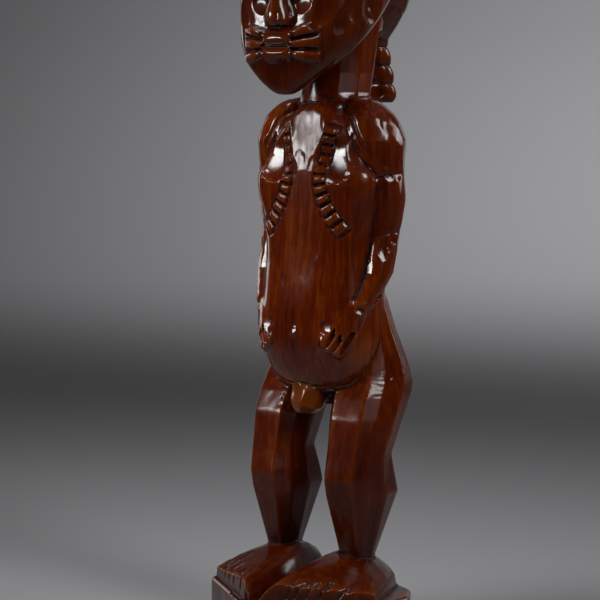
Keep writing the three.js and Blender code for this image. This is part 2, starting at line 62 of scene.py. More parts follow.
CREASE_ANGLE = 20
BASE_TOP = 31 * MM
FEET_TOP = 52 * MM
THIGH_TOP = 150 * MM
SEAT_TOP = 200 * MM
SEAT_FRONT = 22 * MM
NECK_FOOT = 306 * MM
FACE_BACK = -28 * MM
BASE_CORNER = 15
FEET_CORNER = 34
LEG_CORNER = 18
BODY_CORNER = 37
HEAD_CORNER = 60
RASP_REACH = 3.4 * MM
RASP_GRADES = 10
RASP_PULL = 0.5
SCRAPER_STROKES = 4
RASP_STROKES = 110

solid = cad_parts["spirit_spouse_figure"]
figure = bpy.data.objects.new("carved_figure", solid.data.copy())
bpy.context.scene.collection.objects.link(figure)


def choose(piece):
    """Selects one piece and nothing else."""
    bpy.ops.object.select_all(action="DESELECT")
    piece.select_set(True)
    bpy.context.view_layer.objects.active = piece


def finish_with(piece, kind, **settings):
    """Gives a piece one modifier and applies it."""
    choose(piece)
    modifier = piece.modifiers.new(kind.lower(), kind)
    for name, value in settings.items():
        setattr(modifier, name, value)
    bpy.ops.object.modifier_apply(modifier=modifier.name)


def corner_limit(place):
    """How sharply two faces must meet, in degrees, before the corner between them is kept crisp."""
    if place.z < BASE_TOP:
        return BASE_CORNER
    if place.z < FEET_TOP:
        return FEET_CORNER
    if place.z < THIGH_TOP or (place.z < SEAT_TOP and place.y > SEAT_FRONT):
        return LEG_CORNER
    return BODY_CORNER if place.z < NECK_FOOT or place.y < FACE_BACK else HEAD_CORNER


def crisp_places(mesh):
    """Points along the kept corners and creases, half a millimetre apart."""
    shape = bmesh.new()
    shape.from_mesh(mesh)
    found = []
    for edge in shape.edges:
        start, end = (vertex.co.copy() for vertex in edge.verts)
        turn = math.degrees(edge.calc_face_angle_signed(0))
        if -CREASE_ANGLE < turn < corner_limit((start + end) / 2):
            continue
        count = max(1, round((end - start).length / CREST_STEP))
        found.extend(start.lerp(end, i / count) for i in range(count + 1))
    shape.free()
    return found


choose(figure)
bpy.ops.object.mode_set(mode="EDIT")
bpy.ops.mesh.select_all(action="SELECT")
bpy.ops.mesh.remove_doubles(threshold=WELD_GAP)
bpy.ops.object.mode_set(mode="OBJECT")
crisp = crisp_places(figure.data)
finish_with(figure, "REMESH", mode="VOXEL", voxel_size=SKIN_STEP)

tree = KDTree(len(crisp))
for index, place in enumerate(crisp):
    tree.insert(place, index)
tree.balance()
to_crisp = np.array([tree.find(vertex.co)[2] for vertex in figure.data.vertices])
shares = np.clip(to_crisp / RASP_REACH, 0, 1)
shares = shares * shares * (3 - 2 * shares)
flats = figure.vertex_groups.new(name="flats")
for grade in range(1, RASP_GRADES + 1):
    members = np.flatnonzero(np.round(shares * RASP_GRADES) == grade)
    flats.add(members.tolist(), grade / RASP_GRADES, "REPLACE")
finish_with(figure, "SMOOTH", factor=RASP_PULL, iterations=SCRAPER_STROKES)
finish_with(figure, "SMOOTH", factor=RASP_PULL, iterations=RASP_STROKES, vertex_group="flats")
figure.vertex_groups.clear()

# The knife work all over: short flat strokes meet in low ridges, as on any figure finished with a
# blade. Each stroke is a shallow dish cut into the skin, so it needs no edge of its own. A cut is a V
# along a route. Places and depths are in millimetres from here on.
STROKES = 1500
STROKE_SEED = 11
STROKE_LEAN = 0.01
STROKE_DEPTHS = (0.02, 0.07)
STROKE_REACHES = (4, 7)
STROKE_STRETCH = 1.8
CORNER_GAP = 3.5 * MM
UNDERSIDE_RIM = 1
MOST_CUT = 2.2
CUT_FADE = 0.5
DISH_MARGIN = 2
DISH_RISE = 0.13
DISH_FACING = 0.55
FACING_FADE = 0.2
TURN_COST = 8
KNIFE_FACING = 0.15


def read_skin():
    """The skin's points in millimetres, and the way that each faces."""
    places = np.empty((len(figure.data.vertices), 3), np.float32)
    facings = np.empty_like(places)
    figure.data.vertices.foreach_get("co", places.reshape(-1))
    figure.data.vertex_normals.foreach_get("vector", facings.reshape(-1))
    return places.astype(float) / MM, facings.astype(float)


def write_skin():
    """Puts the carved points back on the figure."""
    figure.data.vertices.foreach_set("co", (skin * MM).astype(np.float32).reshape(-1))
    figure.data.update()


skin, facings = read_skin()
by_height = np.argsort(skin[:, 2])
heights = skin[by_height, 2]


def window(route, reach):
    """The skin's points in a box round a route."""
    low, high = np.min(route, axis=0) - reach, np.max(route, axis=0) + reach
    first, last = np.searchsorted(heights, (low[2], high[2]))
    near = by_height[first:last]
    return near[np.all((skin[near] > low) & (skin[near] < high), axis=1)]


def stroke(at, toward, depth, reach, stretch=1.0, most=MOST_CUT):
    """Takes off what stands above a shallow dish: level in the middle, at depth, and rising to the rim.

    The dish is laid on the nearest skin that faces the same way, and stretch draws it out up and down."""
    toward = np.array(toward, float) / np.linalg.norm(toward)
    near = window([at], reach * stretch + DISH_MARGIN)
    agree = facings[near] @ toward
    near, agree = near[agree > DISH_FACING], agree[agree > DISH_FACING]
    if len(near) == 0:
        return
    gap = skin[near] - at
    seat = near[(np.linalg.norm(gap, axis=1) + TURN_COST * (1 - agree)).argmin()]
    gap = skin[near] - skin[seat]
    share = np.linalg.norm(gap / (1, 1, stretch), axis=1) / reach
    above = gap @ toward + depth - (depth + DISH_RISE * reach) * share**4
    cut = (above > 0) & (above < most) & (share < 1)
    faced = np.clip((agree - DISH_FACING) / FACING_FADE, 0, 1)
    taken = above * faced * np.clip((most - above) / CUT_FADE, 0, 1)
    skin[near[cut]] -= taken[cut, None] * toward


def follow(points, route):
    """How far along a flat route each point is, from 0 to 1, and how far beside it, left being positive."""
    starts, runs = route[:-1], np.diff(route, axis=0)
    lengths = np.linalg.norm(runs, axis=1)
    offsets = points[:, None] - starts
    shares = np.clip((offsets * runs).sum(axis=2) / lengths**2, 0, 1)
    gaps = np.linalg.norm(offsets - shares[..., None] * runs, axis=2)
    nearest = gaps.argmin(axis=1)
    row = np.arange(len(points))
    done = np.concatenate([[0], np.cumsum(lengths)])
    along = (done[nearest] + shares[row, nearest] * lengths[nearest]) / done[-1]
    run, offset = runs[nearest], offsets[row, nearest]
    side = np.sign(run[:, 0] * offset[:, 1] - run[:, 1] * offset[:, 0])
    return along, gaps[row, nearest] * side, done[-1]


def seen_from(toward):
    """The directions to the right and up, for someone who looks at the skin from that side."""
    toward = np.array(toward, float) / np.linalg.norm(toward)
    right = np.cross((0, 0, 1), toward)
    right /= np.linalg.norm(right)
    return np.stack([right, np.cross(toward, right)]), toward


def knife(route, toward, half_width, depth, taper=2.5, reach=6):
    """A V cut along a route, pressed in from the side that toward names. It runs out at both ends."""
    route = np.array(route, float)
    axes, toward = seen_from(toward)
    near = window(route, reach)
    near = near[facings[near] @ toward > KNIFE_FACING]
    along, beside, length = follow(skin[near] @ axes.T, route @ axes.T)
    ends = np.clip(np.minimum(along, 1 - along) * length / taper, 0, 1)
    cut = depth * ends * np.clip(1 - np.abs(beside) / half_width, 0, 1)
    skin[near] -= cut[:, None] * toward


def both_sides(action, places, toward, *sizes, **more):
    """The same stroke or cut on the figure's left and on its right."""
    for side in (1, -1):
        turn = np.array((side, 1, 1))
        action(np.array(places, float) * turn, np.array(toward, float) * turn, *sizes, **more)


dice = np.random.default_rng(STROKE_SEED)
open_skin = np.flatnonzero((to_crisp > CORNER_GAP) & (skin[:, 2] > UNDERSIDE_RIM))
for index in dice.choice(open_skin, STROKES):
    lean = dice.normal(0, STROKE_LEAN, 3)
    depth = dice.uniform(*STROKE_DEPTHS)
    stroke(skin[index].copy(), facings[index] + lean, depth, dice.uniform(*STROKE_REACHES), STROKE_STRETCH)

# The chest: flat planes slope back to the collar above a crisp line across the breast, and the blade
# left short marks down the breastbone. Deep grooves part the chest from the shoulders. A plane that
# has the key facing mirrors the main lamp to the viewer, and one with the right facing the side lamp.
KEY_FACING = (-0.015, -0.9725, 0.232)
RIGHT_FACING = (0.743, -0.515, 0.42)
BREASTBONE_PLANES = [
    ((-1, -8, 271), (-0.02, -0.984, 0.175), 0.6, 15, 1.5, 5),
    ((0, -7, 284), KEY_FACING, 0.7, 17, 1.6, 6),
]
BREAST_PLANES = [((side * 24, -6, 272), KEY_FACING, 1.9, 16, 1.0, 5) for side in (1, -1)]
RIB_PLANES = [
    ((27, -6.6, 250), (0.35, -0.93, -0.06), 0.4, 10, 1.4),
    ((30, -1, 277), (0.60, -0.72, 0.35), 0.4, 5, 2.2),
]
BREAST_MARKS = 16
MARK_TOP = 300
MARK_PITCH = 2.4
MARK_SPREAD = 8
MARK_SIDE_LEAN = 0.012
MARK_UP_LEAN = 0.008
MARK_SWING, SIDE_SWING, UP_SWING = 2.4, 1.7, 2.9
MARK_DEPTH = 0.045
MARK_REACH = 3.6
MARK_STRETCH = 2.4
ARM_GROOVE = [
    (14.8, 8, 302.3), (25.5, 3.1, 294.6), (29.8, 1.5, 286.9),
    (34.7, 1.4, 278.7), (37.5, 3.7, 269.7), (40.3, 4.6, 260.7),
]
for place, toward, depth, reach, stretch, most in BREASTBONE_PLANES:
    stroke(place, toward, depth, reach, stretch, most)
for index in range(BREAST_MARKS):
    sideways = KEY_FACING[0] + MARK_SIDE_LEAN * math.sin(index * SIDE_SWING)
    upwards = KEY_FACING[2] + MARK_UP_LEAN * math.cos(index * UP_SWING)
    place = (MARK_SPREAD * math.sin(index * MARK_SWING), -9, MARK_TOP - index * MARK_PITCH)
    stroke(place, (sideways, KEY_FACING[1], upwards), MARK_DEPTH, MARK_REACH, MARK_STRETCH)
for place, toward, depth, reach, stretch, most in BREAST_PLANES:
    stroke(place, toward, depth, reach, stretch, most)
for place, toward, depth, reach, stretch in RIB_PLANES:
    both_sides(stroke, place, toward, depth, reach, stretch)
both_sides(knife, ARM_GROOVE, (0.35, -0.85, 0.35), half_width=1.5, depth=1.3)

# The scars on the chest: two ladders of raised bars, each cut free by notches and by a line down either
# side. They start under the collar, draw in at the breast and swing out over the ribs.
SCAR_TOP = 291
SCAR_WAIST = 261
SCAR_BOTTOM = 231.4
SCAR_BARS = 11
SCAR_POINTS = 60
WAIST_OUT = 10.9
SWING_SPAN = 30
TOP_SWING, TOP_BEND = 5.4, 1.3
BOTTOM_SWING, BOTTOM_BEND = 16, 1.6
SCAR_CORNERS = [(5, -20, SCAR_BOTTOM - 5), (33, 0, SCAR_TOP + 5)]
SCAR_FACING = -0.3
SCAR_HALF_TOP = 3.0
SCAR_HALF_WIDTH = 3.9
WIDENING = (0.5, 0.8)
BAR_RISE = 0.9
BAR_SHOULDER = 1.6
BAR_ROUND = 0.6
BAR_CROWN = 1.15
BAR_FALL = 0.6
BAR_EDGE = 0.4
NOTCH_DEPTH = 1.7
NOTCH_HALF = 1.3
BORDER_DEPTH = 0.9
BORDER_HALF = 0.9
BORDER_OUT = 0.5
SCAR_END_FADE = 60
BORDER_END_FADE = 40


def scar_middle(height):
    """How far from the middle of the chest a ladder lies."""
    reach = (height - SCAR_WAIST) / SWING_SPAN
    above = TOP_SWING * np.abs(reach) ** TOP_BEND
    below = BOTTOM_SWING * np.abs(reach) ** BOTTOM_BEND
    return WAIST_OUT + np.where(reach > 0, above, below)


def carve_scars(side):
    """One ladder: its bars stand out, with notches between them and a line down either side."""
    heights_down = np.linspace(SCAR_TOP, SCAR_BOTTOM, SCAR_POINTS)
    route = np.stack([side * scar_middle(heights_down), heights_down], axis=1)
    near = window(np.array(SCAR_CORNERS) * (side, 1, 1), 1)
    near = near[facings[near, 1] < SCAR_FACING]
    along, beside, length = follow(skin[near][:, (0, 2)], route)
    beside = np.abs(beside)
    lengths = np.concatenate([[0], np.cumsum(np.linalg.norm(np.diff(route, axis=0), axis=1))])
    along = np.interp(along, lengths / length, np.linspace(0, 1, len(route)))
    to_end = np.minimum(along, 1 - along)
    pitch = length / SCAR_BARS
    phase = along * SCAR_BARS
    to_notch = np.abs(phase - np.round(phase)) * pitch
    half = np.interp(along, WIDENING, (SCAR_HALF_TOP, SCAR_HALF_WIDTH))
    within = np.clip((half + BAR_EDGE - beside) / (2 * BAR_EDGE), 0, 1)
    within *= np.clip(to_end * SCAR_END_FADE, 0, 1)
    crown = np.clip(BAR_CROWN - (beside / half) ** 4 * BAR_FALL, 0, 1)
    bar = BAR_RISE * np.clip(to_notch / BAR_SHOULDER, 0, 1) ** BAR_ROUND * crown
    notch = NOTCH_DEPTH * np.clip(1 - to_notch / NOTCH_HALF, 0, 1)
    border = BORDER_DEPTH * np.clip(1 - np.abs(beside - half - BORDER_OUT) / BORDER_HALF, 0, 1)
    border *= np.clip(to_end * BORDER_END_FADE, 0, 1)
    skin[near, 1] -= (bar - notch) * within - border


for side in (1, -1):
    carve_scars(side)

# The nipples: each is a small ring, pressed into the breast beside the ladder of scars with the end
# of a hollow punch and left with a soft edge.
NIPPLE = (29.5, -6, 262)
NIPPLE_FACING = (0.45, -0.88, 0)
NIPPLE_RING = 2.2
RING_HALF = 0.9
RING_DEPTH = 0.5
RING_FACING = 0.3


def press_ring(at, toward, radius, half_width, depth):
    """A round groove with the skin left standing inside it."""
    axes, toward = seen_from(toward)
    near = window([at], radius + half_width + 1)
    near = near[facings[near] @ toward > RING_FACING]
    out = np.linalg.norm((skin[near] - at) @ axes.T, axis=1)
    skin[near] -= (depth * np.clip(1 - np.abs(out - radius) / half_width, 0, 1))[:, None] * toward


both_sides(press_ring, NIPPLE, NIPPLE_FACING, NIPPLE_RING, RING_HALF, RING_DEPTH)

# The shoulders and arms: the blade left flats round the shoulder, a sharp step under it, a line
# across the elbow and long narrow planes that run down the forearm to the wrist.
SHOULDER = [((27, 18, 300), 14, 14.5), ((31, 18, 283), 17.4, 17.6), ((34, 18, 266), 13.5, 14)]
UPPER_ARM = [
    ((38, 18, 261), 10.8, 11.4),
    ((39, 18, 251), 10.4, 11),
    ((37.6, 17.6, 238), 9.6, 10.2),
    ((36.4, 17.2, 231), 9, 9.8),
]
FOREARM = [
    ((37, 16.4, 227), 9.3, 9.8),
    ((36.8, 11.8, 209.5), 9, 9),
    ((34.4, 6.8, 199.5), 8.4, 8.2),
    ((32, 2, 192.5), 7.4, 7),
]
ARM_FLATS = [
    (SHOULDER, (10, 42, 75, -25, -60), 0.955),
    (UPPER_ARM, (-8, 30, 62, -50), 0.93),
    (FOREARM, (-10, 26, 58, 96, -50), 0.92),
]
ARM_GLINTS = [
    ((44, 10.5, 290), RIGHT_FACING, 0.5, 6, 1.8),
    ((45.5, 11, 261.5), RIGHT_FACING, 0.4, 3.5, 1.0),
    ((42.8, 7, 218), RIGHT_FACING, 0.5, 3.6, 2.4),
    ((35.8, -4.5, 186.2), RIGHT_FACING, 0.45, 4, 1.0),
]
ELBOW_LINE = [(38, 7, 230.5), (41, 8.4, 231), (44, 11.4, 231.5), (46.4, 16.6, 232), (46, 22, 232)]
SHOULDER_STEP = [(38, 3.5, 259.5), (42, 6, 262.5), (45, 11, 264), (47.5, 18, 264.5), (46, 26, 264)]
LIMB_MARGIN = 2
LIMB_EDGE = 1.16
FLAT_FADE = 3
FLAT_FACING = 0.35


def flatten(limb, angles, keep, side):
    """Whittles flats along a limb, whose stations give the middle and the half sizes across and fore-and-aft.

    Each flat faces the way its angle says, 0 outwards and 90 forwards, and keeps a share of the half size."""
    middles = np.array([station[0] for station in limb], float) * (side, 1, 1)
    halves = np.array([station[1:] for station in limb], float)
    tops = middles[:, 2]
    near = window(middles, max(halves[0]) + LIMB_MARGIN)
    near = near[(skin[near, 2] < tops[0]) & (skin[near, 2] > tops[-1])]
    order = np.argsort(tops)
    level = skin[near, 2]
    middle = np.stack([np.interp(level, tops[order], middles[order, axis]) for axis in (0, 1)], axis=1)
    half = np.stack([np.interp(level, tops[order], halves[order, axis]) for axis in (0, 1)], axis=1)
    on_limb = np.linalg.norm((skin[near][:, :2] - middle) / half, axis=1) < LIMB_EDGE
    near, level, middle, half = near[on_limb], level[on_limb], middle[on_limb], half[on_limb]
    ends = np.clip(np.minimum(tops[0] - level, level - tops[-1]) / FLAT_FADE, 0, 1)
    for angle in angles:
        toward = np.array((side * math.cos(math.radians(angle)), -math.sin(math.radians(angle))))
        reach = np.linalg.norm(half * toward, axis=1)
        faced = np.clip((facings[near][:, :2] @ toward - FLAT_FACING) / FACING_FADE, 0, 1)
        above = (skin[near][:, :2] - middle) @ toward - reach * keep
        cut = np.clip(above, 0, None) * ends * (above < MOST_CUT) * faced
        skin[near, :2] -= cut[:, None] * toward


for side in (1, -1):
    for limb, angles, keep in ARM_FLATS:
        flatten(limb, angles, keep, side)
for place, toward, depth, reach, stretch in ARM_GLINTS:
    both_sides(stroke, place, toward, depth, reach, stretch)
both_sides(knife, ELBOW_LINE, (0.8, -0.6, 0.1), half_width=1.0, depth=0.7)
both_sides(knife, SHOULDER_STEP, (0.8, -0.6, 0), half_width=1.2, depth=0.9)

# The hands: spade-shaped, laid flat on the belly. The blade left a small plane over the first finger,
# one down the outer edge and a shallow line across the wrist.
WRIST_LINE = [(30.5, -7, 191.3), (33, -5.5, 190), (37, -2.5, 190), (39, 2, 191)]
HAND_PLANES = [
    ((21.5, -14.5, 180.5), (-0.02, -0.975, 0.22), 0.5, 5),
    ((38, -1.5, 180), (0.85, -0.5, -0.1), 0.5, 6),
]
for place, toward, depth, reach in HAND_PLANES:
    both_sides(stroke, place, toward, depth, reach)
both_sides(knife, WRIST_LINE, (0.6, -0.8, 0.1), half_width=0.9, depth=0.3)

# The belly: smooth and full, with a small bud for the navel that one stroke levelled. A cut line
# bounds it below, over the thighs.
BELLY_EDGE = [
    (-24, -9.3, 161.5), (-21.7, -5.8, 151.6), (-14.4, -6, 146.6), (-5, -9.4, 145.8),
    (5, -9, 145.6), (13.3, -5.3, 145.4), (19.7, -1.8, 145.8), (25, 1.6, 147.6),
    (30, 4.7, 152.4), (34, 8.6, 159.5), (36.6, 15, 172),
]
NAVEL = (0, -19.6, 176.5)
knife(BELLY_EDGE, (0, -0.97, -0.25), half_width=1.0, depth=1.0)
stroke(NAVEL, (0, -0.92, 0.38), depth=0.25, reach=3)

# The loins: a small block with cut faces between the thighs, left paler by handling. Beside it are
# the pits that the point of the chisel left.
BLOCK_PLANES = [
    ((-1, -12.6, 142), (-0.25, -0.93, 0.3), 0.9, 9),
    ((-3, -12.5, 134), (-0.35, -0.86, -0.4), 1.2, 9),
    ((6, -11, 139), (0.66, -0.74, 0.05), 1.3, 9),
    ((4, -11, 132), (0.4, -0.75, -0.55), 1.2, 8),
    ((2, -10.5, 147), (0.05, -0.75, 0.66), 0.8, 7),
]
PITS = 9
PIT_PLACE = (-17.5, -2, 136.5)
PIT_PITCH = 0.9
PIT_SPREAD = 3
PIT_DRIFT = 1.2
PIT_SWING = 1.4
PIT_RUNS = (0.8, 2)
for place, toward, depth, reach in BLOCK_PLANES:
    stroke(place, toward, depth, reach)
for index in range(PITS):
    left = PIT_PLACE[0] + dice.uniform(-PIT_SPREAD, PIT_SPREAD)
    low = PIT_PLACE[2] - index * PIT_PITCH + dice.uniform(-PIT_DRIFT, PIT_DRIFT)
    right = left + dice.uniform(-PIT_SWING, PIT_SWING)
    pit = [(left, PIT_PLACE[1], low), (right, PIT_PLACE[1] - 0.5, low + dice.uniform(*PIT_RUNS))]
    knife(pit, (-0.1, -1, 0), half_width=0.8, depth=0.8, taper=0.8, reach=9)

# The thighs: long planes meet in low edges, cut in the billet itself. The blade chattered as it came
# down the outside, and left a row of faint lines across it.
CHATTER_TOP = 160
CHATTER_BOTTOM = 112
CHATTER_MARKS = 34
CHATTER_DEPTH = 0.09
CHATTER_DRIFT = 0.5
CHATTER_BEND = 0.8
CHATTER_TAIL = 0.6
CHATTER_PLAN = [(38, 4), (41, 8), (43.4, 14), (44.4, 19)]
for index in range(CHATTER_MARKS):
    drift = dice.uniform(-CHATTER_DRIFT, CHATTER_DRIFT)
    height = CHATTER_TOP + (CHATTER_BOTTOM - CHATTER_TOP) * index / CHATTER_MARKS + drift
    bend = dice.uniform(-CHATTER_BEND, CHATTER_BEND)
    rises = (bend, 0, -bend, CHATTER_TAIL)
    mark = [(*place, height + rise) for place, rise in zip(CHATTER_PLAN, rises)]
    both_sides(knife, mark, (0.85, -0.5, 0.1), half_width=0.7, depth=CHATTER_DEPTH, taper=3, reach=8)

# The feet: each falls in a wedge to the toes, with two cuts at the ankle and short flutes between the
# toes. The two feet were cut by eye, so their flutes differ.
ANKLE_LINES = [
    [(17, 2, 52.4), (20.7, -1.6, 51.6), (25, -2.2, 51), (29.2, -2, 50.8), (34, 0, 51)],
    [(18, 0, 50.6), (22, -3.4, 50.2), (26, -3.8, 49.8), (30, -3.4, 49.6)],
]
LEFT_TOE_FLUTES = [
    [(18.2, -42.4, 38.4), (15.1, -46.8, 32.6)],
    [(25, -35.8, 41.4), (21.8, -40, 38), (18.7, -44.4, 32.6)],
    [(29.5, -31.6, 41.4), (27, -36, 38), (24, -40.4, 32.6)],
    [(34.2, -26.4, 41.4), (32.5, -31, 38), (30.3, -36, 32.6)],
    [(42.9, -24.2, 38.6), (41, -27, 36), (38.7, -30, 32.8)],
]
RIGHT_TOE_FLUTES = [
    [(-43.4, -16.4, 41.4), (-46, -23.5, 37)],
    [(-35.4, -19, 44), (-38, -23.5, 40), (-40.8, -28.4, 33.5)],
    [(-26.5, -26, 45), (-30.5, -31, 40), (-34, -33.5, 34)],
    [(-16.4, -34.9, 44.8), (-21.6, -36.5, 40.4), (-26.9, -38.2, 33)],
    [(-12, -43, 40), (-15.5, -46.6, 33)],
]
FLUTE_HALF_WIDTH = 1.2
TOE_FLUTE_DEPTH = 1.8
for route in ANKLE_LINES:
    both_sides(knife, route, (0, -0.8, 0.6), half_width=0.8, depth=0.6)
for route in LEFT_TOE_FLUTES:
    knife(route, (0.1, -0.6, 0.79), FLUTE_HALF_WIDTH, TOE_FLUTE_DEPTH, taper=2)
for route in RIGHT_TOE_FLUTES:
    knife(route, (-0.1, -0.6, 0.79), FLUTE_HALF_WIDTH, TOE_FLUTE_DEPTH, taper=2)

# The mouth: two lips stand out in flat planes, with a deep slit between them. A crescent cut closes
# each corner, and three squared scars fan out over the cheek, parted by V cuts.
LIP_PROFILE = [(324.4, 1.2), (330, 5), (333.6, 3.4), (334.9, 1.4), (336, 4.4), (341, 5.2), (345, 2.2)]
FACE_FRONT = -29.4
LIP_HALF = 10
LIP_FACING = -0.1
CORNER_CUTS = [
    [(9.6, -33, 342.4), (11.2, -32.4, 340), (10.6, -33, 336.4)],
    [(10.6, -33, 333.6), (11.2, -32.4, 330.4), (9.8, -33, 327)],
]
CHEEK_CUTS = [
    ([(11, -32, 337.7), (17, -30, 338.9), (25.4, -25.6, 340.4)], 1.2, 1.0),
    ([(11, -32, 332.5), (17, -30, 332.2), (25.4, -25.6, 331.8)], 1.2, 1.0),
    ([(25.9, -26, 347.6), (26.4, -25, 341), (26, -25, 332), (25.6, -25, 326)], 0.8, 0.5),
]
outline = np.array(LIP_PROFILE)
near = window([(-LIP_HALF, -38, LIP_PROFILE[0][0]), (LIP_HALF, -29, LIP_PROFILE[-1][0])], 0.1)
near = near[facings[near, 1] < LIP_FACING]
forward = FACE_FRONT - np.interp(skin[near, 2], outline[:, 0], outline[:, 1])
skin[near, 1] = np.maximum(skin[near, 1], forward)
for route in CORNER_CUTS:
    both_sides(knife, route, (0.3, -0.95, 0), half_width=1.2, depth=1.3, taper=1)
for route, half_width, depth in CHEEK_CUTS:
    both_sides(knife, route, (0.4, -0.92, 0), half_width, depth, taper=1.5)

# The face: the nose is long, with cut wings and a deep crease beside it. Half-closed lids lie in
# hollows under the brows, short cuts across the brow mark its hair, and flats slope back over the
# cheek and under the jaw.
NOSE_CUTS = [
    ([(7, -33, 344.6), (9.6, -31, 347), (10.4, -30, 350.5), (8.6, -31, 355), (6.4, -31.4, 362)], 1.3, 1.2),
    ([(3.4, -38, 345.8), (4, -38, 349.4), (3.2, -37.4, 353)], 0.9, 0.8),
    ([(2.2, -37, 345.3), (5.8, -36, 345.5)], 1.1, 1.0),
]
LID_SLIT = [
    (8.5, -29.8, 369), (13, -31.4, 369.2), (17.4, -31.4, 369.6), (22, -29.6, 370.4), (26, -26.6, 371),
]
UPPER_LID = [
    (8, -29.5, 371.6), (12.4, -31, 374.4), (17.4, -31, 375.4), (22.4, -29, 375), (26.6, -25.6, 372.4),
]
LOWER_LID = [
    (8.6, -29.8, 368), (13.4, -31, 365.6), (18, -30.8, 365.4), (22.8, -28.6, 366.8), (26.4, -25.8, 370),
]
EYE_CUTS = [(LID_SLIT, 0.8, 0.9), (UPPER_LID, 0.8, 0.7), (LOWER_LID, 0.8, 0.6)]
FACE_PLANES = [
    ((24, -27.5, 356), (0.45, -0.89, -0.05), 0.42, 12),
    ((15, -28.2, 355.5), KEY_FACING, 0.98, 8),
    ((33, -20, 350), (0.85, -0.52, -0.1), 0.42, 13),
    ((36.5, -8, 358), (0.97, -0.2, -0.15), 0.42, 15),
    ((37, 8, 360), (0.96, -0.1, -0.28), 0.42, 15),
    ((14, -29, 394), (0.2, -0.97, 0.15), 0.42, 12),
    ((0, -30, 393), (0, -0.98, 0.2), 0.35, 9),
]
BROW_CUTS = 13
BROW_START = np.array((5, -29.6, 386.4))
BROW_LENGTH = 26
BROW_BACK, BROW_TURN = 9.5, 2.4
BROW_ARCH, BROW_CREST = 3.4, 0.8
BROW_DROP = 8
BROW_HAIR = np.array((0.9, 0, 2.2))
for place, toward, depth, reach in FACE_PLANES:
    both_sides(stroke, place, toward, depth, reach)
for route, half_width, depth in NOSE_CUTS + EYE_CUTS:
    both_sides(knife, route, (0.15, -0.98, 0), half_width, depth, taper=1.5)
for index in range(BROW_CUTS):
    share = index / (BROW_CUTS - 1)
    rise = BROW_ARCH * math.sin(math.pi * share * BROW_CREST) - BROW_DROP * share**3
    middle = BROW_START + (BROW_LENGTH * share, BROW_BACK * share**BROW_TURN, rise)
    hair = [middle - BROW_HAIR, middle + BROW_HAIR]
    both_sides(knife, hair, (0.35, -0.93, 0.1), half_width=0.55, depth=0.5, taper=1)

# The neck: an upright column whittled to long flats. A thin ledge parts it from the chest and runs out
# on top of the shoulders.
NECK = [((0, 28, 345), 21.6, 22.5), ((0, 25.5, 320), 20, 20.3), ((0, 22, 306), 20, 20)]
NECK_FLATS = (0, 34, 68, -40)
NECK_KEEP = 0.955
NECK_LEDGE = [
    (-26, 18.6, 305.6), (-21, 10, 304.6), (-10.4, 4.4, 302.6), (0, 2.4, 303),
    (10.4, 4.4, 302.6), (21, 10, 304.6), (26, 18.6, 305.6),
]
for side in (1, -1):
    flatten(NECK, NECK_FLATS, NECK_KEEP, side)
knife(NECK_LEDGE, (0, -0.85, 0.5), half_width=1.1, depth=0.8)

# The hair: combed back from a raised line over the brow. Shallow flutes run over the skull, draw
# together low behind the head and fade out before the plait begins.
HAIR_FLUTES = 38
FLUTE_DEPTH = 0.75
FLUTE_ROUND = 0.7
FLUTE_WAVE = 0.06
WAVES_BACK = 0.21
WAVES_ROUND = 5
HAIR_BOX = [(-45, -40, 338), (45, 75, 428)]
HAIR_AXIS_FRONT = np.array((0, -60, 366.0))
HAIR_AXIS_BACK = np.array((0, 68, 346.0))
HAIRLINE = [
    (-34, 399), (-28, 398), (-8, 397), (8, 392), (20, 386), (27, 376), (32, 366), (42, 350), (57, 339),
]
HAIR_GAP = 1
HAIR_EDGE = 2.5
KNOT_RADIUS = 14
KNOT_FADE = 12
FADE_END = 62
FADE_LENGTH = 18
FADED_SHARE = 0.15
SIDE_HAIRLINE = [
    (38.5, -8, 396.4), (41, 2, 392), (40.5, 12, 387), (38, 20, 380), (34, 27, 371), (29, 33, 361),
]


def comb_hair():
    """Cuts the flutes above the hairline, round an axis from the brow to the nape."""
    near = window(HAIR_BOX, 1)
    line = np.array(HAIRLINE, float)
    forward = np.interp(skin[near, 1], line[:, 0], line[:, 1])
    above = np.clip((skin[near, 2] - forward - HAIR_GAP) / HAIR_EDGE, 0, 1)
    axis = HAIR_AXIS_BACK - HAIR_AXIS_FRONT
    axis /= np.linalg.norm(axis)
    offset = skin[near] - HAIR_AXIS_FRONT
    out = offset - (offset @ axis)[:, None] * axis
    turn = np.arctan2(out[:, 0], out[:, 2])
    wave = FLUTE_WAVE * np.sin(skin[near, 1] * WAVES_BACK + turn * WAVES_ROUND)
    phase = turn * HAIR_FLUTES / (2 * math.pi) + wave
    flute = np.abs(np.sin(math.pi * phase)) ** FLUTE_ROUND
    spread = np.clip((np.linalg.norm(out, axis=1) - KNOT_RADIUS) / KNOT_FADE, 0, 1)
    fade = FADED_SHARE + (1 - FADED_SHARE) * np.clip((FADE_END - skin[near, 1]) / FADE_LENGTH, 0, 1)
    depth = FLUTE_DEPTH * (1 - flute) * above * spread * fade
    skin[near] -= depth[:, None] * facings[near]


comb_hair()
both_sides(knife, SIDE_HAIRLINE, (0.97, -0.2, 0), half_width=1.0, depth=0.8)

